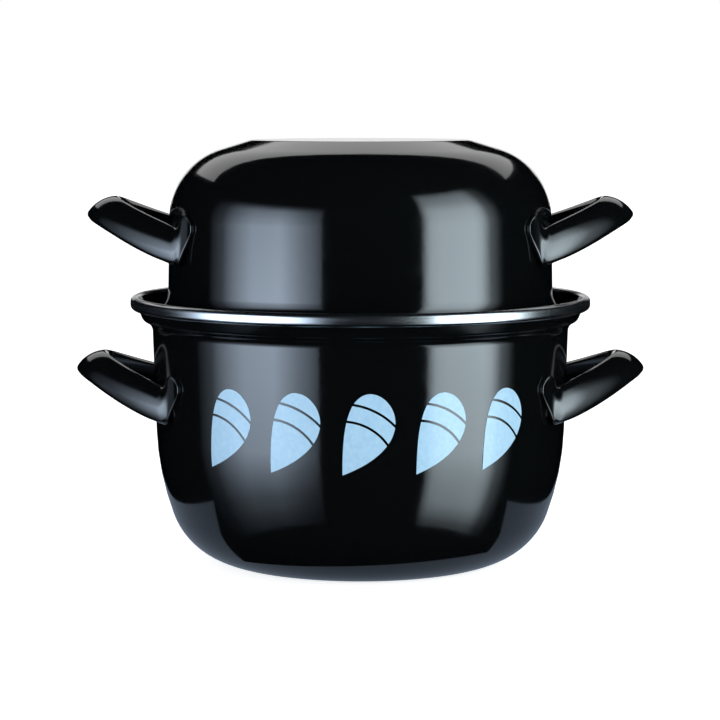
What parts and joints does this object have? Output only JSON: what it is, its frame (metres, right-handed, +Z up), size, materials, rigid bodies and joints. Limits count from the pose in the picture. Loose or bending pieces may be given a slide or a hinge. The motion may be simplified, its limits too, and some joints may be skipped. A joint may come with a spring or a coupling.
{
  "type": "mussel pot",
  "caption": "Deep round enamelled steel pot with a stepped, steel-banded rim, loop handles and an upside-down bowl as its lid.",
  "frame": {"origin": "centre of the pot's flat base, on the surface that it stands on", "axes": "+Z up through the lid; +X to the right-hand handles; the print faces -Y"},
  "size_m": [0.3138, 0.253, 0.2326],
  "materials": {
    "black_enamel": "glossy fired black enamel on steel",
    "band_steel": "rolled stainless steel, bright",
    "print_enamel": "pale ice blue print fired onto the enamel"
  },
  "bodies": {
    "root": {"pot_body": "black_enamel", "pot_rim_band": "band_steel", "pot_handle_left": "black_enamel", "pot_handle_right": "black_enamel", "lid_bowl": "black_enamel", "lid_handle_left": "black_enamel", "lid_handle_right": "black_enamel", "shell_print": "print_enamel"}
  },
  "joints": []
}
